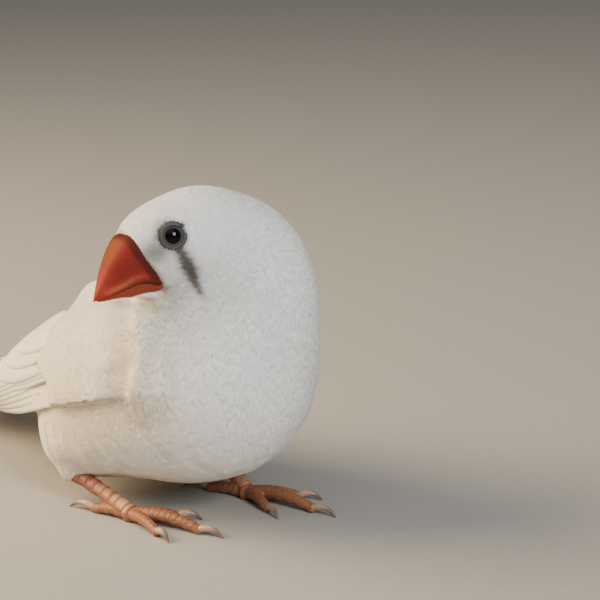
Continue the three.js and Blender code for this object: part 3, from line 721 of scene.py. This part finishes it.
def grow(name, centre, roots, normals, ways, lengths, widths, stand):
    """A coat of tufts that follow the ground they grow on, each a patch of OFBake at its root."""
    count = len(roots)
    lengths, widths, stand = (value[:, None] for value in (lengths, widths, stand))
    root = roots, normals, ways
    middle = follow(*root, lengths, 0.45)
    end = follow(*middle, lengths, 0.55)
    rows, outs = [], []

    def put(ground, along, across, height, tilt=0.0):
        at, normal, way = ground
        side = np.cross(normal, way)
        rows.append(at + way * along + side * across + normal * height)
        outs.append(normal + side * tilt)

    for j in (-1, 1):
        put(root, 0, j * 0.16 * widths, -0.1)
    for lower in (0, 0.04):
        for k in range(BARBS + 1):
            j = 2 * k / BARBS - 1
            if lower and abs(j) == 1:
                continue
            height = stand * (0.6 - 0.12 * j * j) - lower
            put(middle, 0, j * 0.48 * widths, height, 0.07 * j)
    for k in range(BARBS):
        j = (2 * k + 1) / BARBS - 1
        slip = rng.uniform(-0.16, 0.04, (count, 1)) - 0.16 * j * j
        aside = j * 0.54 * widths + rng.normal(0, 0.03, (count, 1)) * lengths
        height = stand * rng.uniform(0.86, 1.0, (count, 1))
        put(end, slip * lengths, aside, height, 0.07 * j)
    points = np.stack(rows, axis=1)
    each = points.shape[1]
    faces = (TUFT[None] + (np.arange(count) * each)[:, None, None]).reshape(-1, 3)
    shade = 1 + rng.normal(0, 0.009, (count, 1, 1))
    seen = points + rng.normal(0, 0.1, (count, 1, 3))  # each tuft takes its tint from beside it
    tints = plumage_colours(seen.reshape(-1, 3)).reshape(count, each, 4)
    tints[:, :, :3] *= shade
    piece = mesh_piece(name, points.reshape(-1, 3), faces, down, "white_plumage", tints.reshape(-1, 4))
    piece.data.normals_split_custom_set_from_vertices(unit(np.stack(outs, axis=1).reshape(-1, 3)))
    spots = round_unwrap(roots, centre)
    local = np.array(
        [(0.4, 0), (0.6, 0)]
        + [(k / BARBS, 0.5) for k in range(BARBS + 1)]
        + [(k / BARBS, 0.45) for k in range(1, BARBS)]
        + [((k + 0.5) / BARBS, 1) for k in range(BARBS)]
    )
    uv = (spots[:, None] + (local[None] - 0.5) * PATCH).reshape(-1, 2)
    layer = piece.data.uv_layers.new(name="OFBake")
    layer.data.foreach_set("uv", uv[faces.ravel()].ravel())


EYE, EYE_RADIUS, EYE_UP, EYE_AHEAD = np.array((2.6, 3.5, 2.1)), 2.2, radians(17), radians(15)
EYE_WAY = np.array((cos(EYE_UP) * sin(EYE_AHEAD), cos(EYE_UP) * cos(EYE_AHEAD), sin(EYE_UP)))


def from_eye(at, side):
    """How far out along an eye's axis points lie, and the way to them across it."""
    axis = EYE_WAY * (1, side, 1)
    away = to_head(at) - EYE * (1, side, 1)
    out = away @ axis
    return out, away - out[:, None] * axis


def feathered(at):
    """Where feathers grow: not on the bill, in the ring round each eye or past the rump."""
    local = to_head(at)
    free = (past_feathers(local) < -0.1) | (below_bill(local) > 0.35) | (np.abs(local[:, 1]) > BILL_SIDE)
    for side in (-1, 1):
        out, flat = from_eye(at, side)
        free &= (out < 0) | (size(flat) > BARE_RING)
    return free & (at[:, 0] > RUMP_END)


def clear_of_eyes(at, ways, length):
    """Tufts cut short where they would reach over the bare ring round an eye."""
    for side in (-1, 1):
        out, flat = from_eye(at, side)
        near = size(flat)
        toward = -np.sum(flat * (ways @ HEAD_TURN), axis=1) / near
        room = np.maximum(near - LID_CLEAR, 0.22) / np.maximum(toward, 0.3)
        length = np.where((out > 0) & (near < 4) & (toward > 0), np.minimum(length, room), length)
    return length


def coat_size(at):
    """Length and width of the tufts: finest on the face, longest on the rump."""
    far = from_bill(at)
    length = 0.75 + 0.95 * ramp(1, 7, far) + 1.3 * ramp(7, 18, far)
    length += 0.5 * ramp(0, -14, at[:, 0])
    return length, np.clip(0.24 * length, 0.24, 0.72)


length, width = coat_size(skin_points[skin_faces[:, 0]])
roots, normals = scatter(skin_points, skin_faces, LAYERS / (length * width))
s, t = sheet_place(roots)
from_head = size(roots - HEAD_AT)
# The fold under the wing's lower edge stays bare, and so does the skin under the flight feathers.
kept = feathered(roots) & ~((s > 2) & (s < 19) & (t > 0.5) & (t < 1.3))
kept &= (s < coverts_end(t) + 2) | (s > 32) | (t < 0.6) | (t > 11) | (from_head < 13)
roots, normals, from_head = roots[kept], normals[kept], from_head[kept]
x, y, z = roots.T
s, t = sheet_place(roots)
edge = ramp(0.5, 2, s) * ramp(1, 1.3, t) * ramp(3, 2, t)  # on the wing's lower edge, which is crisp
ways = flatten(lie(roots) + (0.06 - 0.045 * edge[:, None]) * rng.normal(0, 1, roots.shape), normals)
length, width = coat_size(roots)
width *= 1 - 0.45 * edge
length = clear_of_eyes(roots, ways, length * rng.uniform(0.88, 1.12, len(roots)))
puffed = ramp(-5, -1, s) * ramp(3, 1.2, s) * ramp(-2, 1, t) * ramp(13, 11, t)
raised = 0.7 * puffed * rng.uniform(0.3, 1, len(roots))
stand = coat_depth(roots) * (0.74 - 0.2 * ramp(5, 10, from_bill(roots)) + raised)
on_the_head = from_head < 10.2
on_the_wing = (s > 1.7) & (s < coverts_end(t) + 2) & (t > 0.7) & (t < np.interp(s, *WING_TOP)) & ~on_the_head
below_neck = ~on_the_head & ~on_the_wing & (z <= 27)
regions = {
    "head": on_the_head,
    "neck": ~on_the_head & ~on_the_wing & (z > 27),
    "breast": below_neck & (x > 6),
    "flanks": below_neck & (x <= 6) & (x > -7),
    "rump": below_neck & (x <= -7),
    "wing": on_the_wing,
}
tufts = roots, normals, ways, length, width, stand
BODY_MIDDLE, NECK_MIDDLE = np.array((-1, 0, 17)), np.array((9, 2.5, 31))  # the unwraps' centres
for region, inside in regions.items():
    centre = {"head": HEAD_AT, "neck": NECK_MIDDLE}.get(region, BODY_MIDDLE)
    across = to_head(roots)[:, 1] if region == "head" else y
    for word, half in (("right", across < 0), ("left", across >= 0)):
        grow(f"coat_{region}_{word}", centre, *(each[inside & half] for each in tufts))

# Bill: two short cones of sealing-wax red horn that grow out of the face, the upper over the
# lower, with a ridge along the top that pales to orange. The nostrils are bored in at its root.

BILL_TIP, BILL_LENGTH, BILL_WIDTH, BILL_HEIGHT = np.array((14.8, 0, -0.7)), 7.4, 3.8, 5.4
LOWER_SHORT, MOUTH = 0.5, 0.06  # how much shorter the lower half is, and the gap between them
NOSTRIL_BACK, NOSTRIL_ASIDE, NOSTRIL_UP, NOSTRIL_RADIUS = 7.75, 2.3, 4.45, 0.24
HORN_RED, TIP_RED, RIDGE_ORANGE, BILL_BAND_PAINTED_LIGHT = "7b2a23", "953a29", "783c12", "c96b4c"
LOWER_RED, MOUTH_DARK, ROOT_DARK = "8c4230", "3d1a14", "481d16"


def bill_share(d):
    """How much of the bill lies within d of its tip."""
    return np.clip(d / BILL_LENGTH, 0, 1)


def culmen(d):
    """The ridge along the top."""
    return BILL_HEIGHT * (1 - (1 - 0.97 * bill_share(d)) ** 1.5)


def tomium(d):
    """The edge where the halves meet: nearly straight, then down to the corner of the mouth."""
    return np.interp(d, (0, 2, 3.5, 5.2, 6.2, 7.1, 7.8, 10), (0, -0.3, -0.3, -0.3, -0.5, -1.05, -1.8, -2.4))


def half_width(d):
    return BILL_WIDTH * bill_share(d) ** 0.9


def on_bill(d, y, z):
    return on_head(np.stack((BILL_TIP[0] - d, y, BILL_TIP[2] + z), axis=-1))


def skinned(rings):
    """Closed triangles over rings of equal count, fanned shut at both ends."""
    count, each = rings.shape[:2]
    hub = count * each
    index = np.pad(np.arange(hub).reshape(count, each), ((0, 0), (0, 1)), mode="wrap")
    points = np.concatenate((rings.reshape(-1, 3), rings[0].mean(axis=0)[None], rings[-1].mean(axis=0)[None]))
    ends = [
        np.stack((np.full(each, hub), index[0, 1:], index[0, :-1]), 1),
        np.stack((np.full(each, hub + 1), index[-1, :-1], index[-1, 1:]), 1),
    ]
    return outward(points, np.concatenate((grid_faces(index), *ends)))


def arched(turn, power):
    """A fuller arch than a circle's: how far aside and how high it is at each turn."""
    return np.sign(turn) * np.abs(np.sin(turn)) ** power, np.maximum(0, np.cos(turn)) ** power


rows = BILL_LENGTH * np.concatenate((np.linspace(0.004, 0.1, 8), np.linspace(0.12, 1.25, 40)))
d, share = grid(rows, np.linspace(0.97, -0.97, 9))
under = on_bill(d, half_width(d) * share, tomium(d) + 0.12 * (culmen(d) - tomium(d)) * (1 - share**6))
d, turn = grid(rows, np.linspace(-pi / 2, pi / 2, 49))
aside, up = arched(turn, 0.62)
over = on_bill(d, half_width(d) * aside, tomium(d) + (culmen(d) - tomium(d)) * up)
upper_points, upper_faces = skinned(np.concatenate((over, under), axis=1))
keel = -1.5 * bill_share(d + LOWER_SHORT) ** 1.8 - 0.3 - 2.6 * bill_share(d) ** 0.8
keel += 0.35 * ramp(0, 3, d) + 0.9 * ramp(3.5, 7.4, d)
edge = tomium(d + LOWER_SHORT) - MOUTH
aside, up = arched(turn, 0.8)
lower = on_bill(d + LOWER_SHORT, 0.92 * half_width(d) * aside, edge - (edge - keel) * up)
lower_points, lower_faces = skinned(lower)


def bill_colours(points):
    """Red horn, paler at the tip and along the mouth, with a painted highlight in a band above the mouth line,
    orange on the ridge, dark at the root.
    """
    x, y, z = (to_head(points) - BILL_TIP).T
    d, up = -x, z - tomium(-x)
    ridge = ramp(1.9, 0.5, np.abs(y)) * ramp(2.5, 5.2, d) * ramp(1.5, 2.6, up)
    root = BILL_TIP[0] - np.interp(z + BILL_TIP[2], *FEATHER_LINE)
    return painted(
        points, HORN_RED, (TIP_RED, 0.7 * ramp(4.5, 1, d) + 0.4 * ramp(2.2, 0.6, up)),
        (RIDGE_ORANGE, 0.95 * ridge),
        # Painted light: a pale band just above the mouth line, where the horn catches light.
        (BILL_BAND_PAINTED_LIGHT, 0.55 * spot((up - 0.6) / 0.4) * ramp(0.8, 3, d)),
        (LOWER_RED, 0.9 * ramp(0.0, -0.15, up)),
        (MOUTH_DARK, 0.8 * ramp(0.13, 0, np.abs(up)) * ramp(0.5, 3, d)),
        (ROOT_DARK, 0.9 * ramp(root - 0.9, root - 0.1, d) * ramp(0.1, 1.2, up)),
    )


# Bill horn: dense keratin, worn to a soft waxy gloss, with a grain that runs from root to tip.
HEAD_FRAME = Matrix(HEAD_TURN.T.tolist()).to_euler()
horn = grained(
    "red bill horn", 0.5, 0.12, 0.015, (0.25, 1, 1), HEAD_FRAME, Roughness=0.6, Specular_IOR_Level=0.08
)
upper_bill = mesh_piece("bill_upper", upper_points, upper_faces, horn, "bill")
for side in (-1, 1):
    pit = on_bill(NOSTRIL_BACK, side * NOSTRIL_ASIDE, NOSTRIL_UP)
    bpy.ops.mesh.primitive_uv_sphere_add(
        segments=24, ring_count=16, radius=NOSTRIL_RADIUS * MM, location=place(*pit)
    )
    bore = bpy.context.object
    apply_modifier(upper_bill, "BOOLEAN", operation="DIFFERENCE", object=bore, solver="EXACT")
    bpy.data.objects.remove(bore)
lower_bill = mesh_piece("bill_lower", lower_points, lower_faces, horn, "bill")
for half, solid_name in ((upper_bill, "upper_bill"), (lower_bill, "lower_bill")):
    tint(half, bill_colours(points_of(half)))
    only(half)
    bpy.ops.object.shade_smooth_by_angle(angle=radians(50))
    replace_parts(half, solid_name)

# Eyes: wet dark balls set in the head, a brown iris round a black pupil. Each looks out of a bare
# grey ring of skin in fine folds, the lids, which runs out to a point behind.

LID_RING, LID_TUBE, LID_OUT = 1.62, 0.31, 1.98  # its radius, its thickness and how far out it lies
PUPIL_BLACK, IRIS_BROWN, LID_DARK = "0c0909", "1a0f0c", "3a3839"
LID_TURNS, LID_SIDES, EYE_TURNS, EYE_TIPS = 120, 20, 64, 40


def turns(count):
    """So many even turns round a circle."""
    return np.linspace(0, 2 * pi, count, endpoint=False)


# Eye: a clear wet film over black and brown, so it mirrors the window as one sharp point.
wet = grained("wet dark eye", 0.2, 0.3, 0.0, Roughness=0.03, IOR=1.25)
# Eyelids: thin bare skin, matt and finely wrinkled.
lid_skin = grained("bare grey eyelid", 0.12, 0.2, 0.02, Roughness=0.55)
for side, word in ((-1, "right"), (1, "left")):
    centre, way = on_head(EYE * (1, side, 1)), HEAD_TURN @ (EYE_WAY * (1, side, 1))
    ahead = HEAD_TURN @ np.array((1, 0, 0))
    ahead = unit(ahead - way * (ahead @ way))
    eye_axes = np.array((way, ahead, np.cross(way, ahead) * side))

    def at_eye(out, aside, turn):
        """Points so far out along the eye's axis, and so far from it at a turn."""
        return centre + np.stack((out, aside * np.cos(turn), aside * np.sin(turn)), axis=-1) @ eye_axes

    tip, turn = grid(np.linspace(0.02, pi - 0.02, EYE_TIPS), turns(EYE_TURNS))
    points, faces = skinned(at_eye(EYE_RADIUS * np.cos(tip), EYE_RADIUS * np.sin(tip), turn))
    off_axis = size(np.cross(points - centre, way))
    iris = ramp(0.95, 1.1, off_axis) * ramp(1.9, 1.4, off_axis)
    colours = painted(points, PUPIL_BLACK, (IRIS_BROWN, iris))
    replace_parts(mesh_piece("eyeball_" + word, points, faces, wet, "eye", colours), "eye_" + word)
    turn, tube = grid(turns(LID_TURNS), turns(LID_SIDES))
    corner = spot((turn - pi) / 0.32)
    fold = 0.09 * np.cos(17 * turn + 2 * np.sin(3 * turn)) * np.maximum(0, np.cos(tube))
    radius = LID_TUBE * (1 + fold + 0.06 * np.cos(3 * tube)) * (1 - 0.25 * corner)
    aside = LID_RING + 0.2 * corner + radius * np.cos(tube)
    out = LID_OUT - 0.3 * corner + 0.55 * radius * np.sin(tube) - 0.28 * (aside - LID_RING)
    points = at_eye(out, aside, turn).reshape(-1, 3)
    faces = grid_faces(np.pad(np.arange(len(points)).reshape(turn.shape), (0, 1), mode="wrap"))
    colours = painted(points, LID_GREY, (LID_DARK, ramp(0.3, -0.9, np.cos(tube).ravel())))
    mesh_piece("eyelid_" + word, *outward(points, faces), lid_skin, "eye", colours)

# Legs and feet: bone and sinew in thin orange-pink skin, with overlapping horny plates along the
# front of the shank and the tops of the toes and soft pads below. Each toe ends in a curved claw.

FEET_TURN = 17  # the way both feet point, in degrees round from straight ahead
PLATE_PITCH, PLATE_RISE = {"shank": 1.5, "toe": 0.85}, {"shank": 0.1, "toe": 0.09}
COBBLE, COBBLE_RISE = 0.5, 0.12  # the small round scales
# Each toe's way round from the foot's in degrees, its length and its claw's, how high it arches,
# and its radii from root to tip.
TOES = {
    "hind": (178, 6.2, 4.2, 0.35, (0.95, 0.78, 0.66)),
    "inner": (32, 6.6, 3.0, 0.5, (0.85, 0.74, 0.62)),
    "middle": (2, 11, 3.6, 0.9, (0.95, 0.86, 0.8, 0.66)),
    "outer": (-26, 7.4, 3.0, 0.5, (0.85, 0.74, 0.62)),
}
SHANK_RADII, PAD_RADII, CLAW_RADII = (1.1, 1.0, 1.02, 1.1, 1.35), (1.1, 1.3, 1.1), (0.5, 0.5, 0.42, 0.3, 0.12)
LEG_VOXEL = 0.15
TOE_SKIN, SHANK_SHADED_SKIN, SHANK_LIT_LOW, SHANK_PAINTED_HIGHLIGHT, PLATE_GAP = "8f5c3c", "7f4533", "a87048", "d9a886", "6b3c28"
CLAW_PALE, CLAW_DARK = "b39179", "6d5547"


def curve(places, count):
    """Points and tangents along a smooth curve through three places."""
    u = np.linspace(0, 1, count)[:, None]
    a, b, c = places
    bend = 2 * b - (a + c) / 2
    points = (1 - u) ** 2 * a + 2 * u * (1 - u) * bend + u**2 * c
    return points, unit(np.gradient(points, axis=0))


def limb(places, radii, stations=24, sides=20):
    """A round limb along a curve, with rounded ends."""
    points, ahead = curve(places, stations)
    across = unit(np.cross((0, 0, 1), ahead))
    over = np.cross(ahead, across)
    radius = np.interp(np.linspace(0, 1, stations), np.linspace(0, 1, len(radii)), radii)
    turn = turns(sides)[:, None]
    out = np.cos(turn) * across[:, None] + np.sin(turn) * over[:, None]
    rings = points[:, None] + radius[:, None, None] * out
    cap = np.array((0.35, 0.75))[:, None, None]
    caps = [
        points[k] + (rings[k] - points[k]) * share + way * ahead[k] * radius[k] * np.sqrt(1 - share**2) * 0.8
        for k, share, way in ((0, cap, -1), (-1, cap[::-1], 1))
    ]
    return skinned(np.concatenate((caps[0], rings, caps[1])))


# Leg skin: dry, with a dull gloss on the plates, and cobbled with small round scales.
leg_skin = grained("scaly leg skin", 0.25, 0.24, 0.03, Roughness=0.5)
tree = leg_skin.node_tree
where = node(tree, "TexCoord")
cobbles = node(
    tree, "TexVoronoi", {"Vector": where.outputs["Object"]},
    feature="DISTANCE_TO_EDGE", Scale=1 / (COBBLE * MM),
)
shader = tree.nodes["Principled BSDF"]
links = {"Height": cobbles.outputs["Distance"], "Normal": shader.inputs["Normal"].links[0].from_socket}
relief = node(tree, "Bump", links, Distance=COBBLE_RISE * MM, Strength=1.0)
tree.links.new(relief.outputs["Normal"], shader.inputs["Normal"])
# Claw horn: smooth, slightly clear keratin with a faint gloss, pale at the root.
claw_horn = grained("brown claw horn", 0.3, 0.25, 0.01, Roughness=0.35)
for word, (side, heel, ball) in LEGS.items():
    up_shank = unit(heel - ball)
    shank = (ball + (0, 0, -0.2) + up_shank * 0.6, (heel + ball) / 2, heel - up_shank * 0.4)
    front = np.cross(up_shank, np.cross((0, 0, 1), up_shank))
    parts = [limb(shank, SHANK_RADII)]
    limbs = [("shank", curve(shank, 60)[0], unit(front))]  # and the way its plates face
    foot = ball * (1, 1, 0)
    for toe, (way, long, claw, arch_up, radii) in TOES.items():
        angle = radians(FEET_TURN - side * way)
        ahead = np.array((cos(angle), sin(angle), 0))
        end = foot + (0, 0, 0.56) + ahead * long
        start = foot + (0, 0, 0.9)
        path = (start, (start + end) / 2 + (0, 0, arch_up), end)
        parts.append(limb(path, radii))
        limbs.append(("toe", curve(path, 60)[0], np.array((0, 0, 1.0))))
        claw_start = end - ahead * 0.3
        claw_tip = end + ahead * (claw * 0.92 + 0.3) + (0, 0, 0.12 - end[2])
        claw_path = (claw_start, end + ahead * claw * 0.5 + (0, 0, 0.5), claw_tip)
        points, faces = limb(claw_path, CLAW_RADII, stations=28, sides=14)
        points[:, 2] = np.maximum(points[:, 2], 0.02)
        out = size(points - claw_start) / claw
        colours = painted(points, CLAW_PALE, (CLAW_DARK, ramp(0.45, 1, out)))
        piece = mesh_piece(f"claw_{word}_{toe}_horn", points, faces, claw_horn, "claw", colours)
        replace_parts(piece, f"claw_{word}_{toe}")
    parts.append(limb([foot + (ahead_by, 0, 1.0) for ahead_by in (-0.6, 0, 0.6)], PAD_RADII))
    leg = mesh_piece("leg_skin_" + word, *joined(parts), leg_skin, "leg_skin")
    melt(leg, LEG_VOXEL, 3)
    points, outs = points_of(leg), points_of(leg, "normal")
    best = np.full(len(points), 1e9)
    push, groove, is_shank = np.zeros((3, len(points)))
    for kind, line, face in limbs:
        pitch, rise = PLATE_PITCH[kind], PLATE_RISE[kind]
        gaps = size(points[:, None] - line[None])
        at = gaps.argmin(axis=1)
        near = gaps[np.arange(len(points)), at]
        steps = np.concatenate(((0,), np.cumsum(size(np.diff(line, axis=0)))))
        away = points - line[at]
        facing = (away @ face) / np.maximum(near, 1e-6)
        cover = ramp(-0.1, 0.4, facing)
        ahead = unit(np.gradient(line, axis=0))
        run = steps[at] + np.sum(away * ahead[at], axis=1)
        phase = (run / pitch + 0.1 * np.sin(2.9 * run) + 0.04 * np.sin(7.3 * run)) % 1
        saw = (1 - phase if kind == "shank" else phase) ** 1.5  # a plate's free edge stands highest
        pads = 0.05 * np.cos(2 * pi * run / (2.2 * pitch)) * ramp(0, -0.6, facing)
        mine = near < best
        push = np.where(mine, rise * (saw - 0.4) * cover + pads, push)
        groove = np.where(mine, ramp(0.22, 0, np.minimum(phase, 1 - phase)) * cover, groove)
        is_shank = np.where(mine, float(kind == "shank"), is_shank)
        best = np.minimum(best, near)
    points = points + outs * push[:, None]
    points[:, 2] = np.maximum(points[:, 2], 0)
    set_points(leg, points)
    # Painted shade and light: the shank is darkest near the heel, as in shade under the belly, and paler
    # toward the ball of the foot.
    low = size(points - heel) / size(ball - heel)
    # Painted highlight: a paler sheen on the upward-facing plates of the lower shank.
    painted_highlight = (1 - groove) * is_shank * ramp(-0.2, 0.6, outs[:, 2]) * ramp(0.2, 0.9, low)
    tint(leg, painted(
        points, TOE_SKIN, (SHANK_SHADED_SKIN, is_shank), (SHANK_LIT_LOW, ramp(0.3, 1, low) * is_shank),
        (SHANK_PAINTED_HIGHLIGHT, 0.35 * painted_highlight), (PLATE_GAP, 0.6 * groove),
    ))
    only(leg)
    bpy.ops.object.shade_smooth()
    leg.data.materials.clear()
    leg.data.materials.append(leg_skin)
    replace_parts(leg, "tarsus_" + word, "foot_" + word)

# Stage: a floor of plain pale paper and soft studio light: a cool window in front, where the eye
# shows it, a warm one behind on the bird's right, and a broad lamp above.

FLOOR_SIZE, FLOOR_GREY = 4, "9d9992"
bpy.ops.mesh.primitive_plane_add(size=FLOOR_SIZE, location=(0, 0, 0))
floor = bpy.context.object
floor.name = "floor"
tint(floor, painted(floor.data.vertices, FLOOR_GREY))
# Paper: matt and faintly mottled, so that it shows soft shadows and no reflections.
floor.data.materials.append(grained("matt pale paper", 1.4, 0.03, 0.02, Roughness=0.9))
LIT = place(8, 0, 24)  # the place that all lamps face


def lamp(name, way, power, size, colour, far=1.0):
    """A square lamp that stands out this way, in metres and watts."""
    light = added(name, bpy.data.lights.new(name, "AREA"))
    light.data.energy, light.data.size, light.data.color = power, size, colour
    light.location = LIT + Vector(way).normalized() * far
    light.rotation_euler = (LIT - light.location).to_track_quat("-Z", "Y").to_euler()


lamp("window", (0.9, -0.2, 0.5), 8.9, 0.3, (0.93, 0.96, 1))
lamp("warm", (-0.7, -0.66, 0.55), 3.6, 0.25, (1, 0.78, 0.5), far=0.35)
lamp("soft", (0.5, -0.6, 1.4), 3.6, 1.0, (1, 0.98, 0.96))
world = bpy.data.worlds.new("studio")
bpy.context.scene.world = world
world.use_nodes = True
sky = world.node_tree.nodes["Background"]
sky.inputs["Color"].default_value = (0.86, 0.87, 0.9, 1)
sky.inputs["Strength"].default_value = 0.19
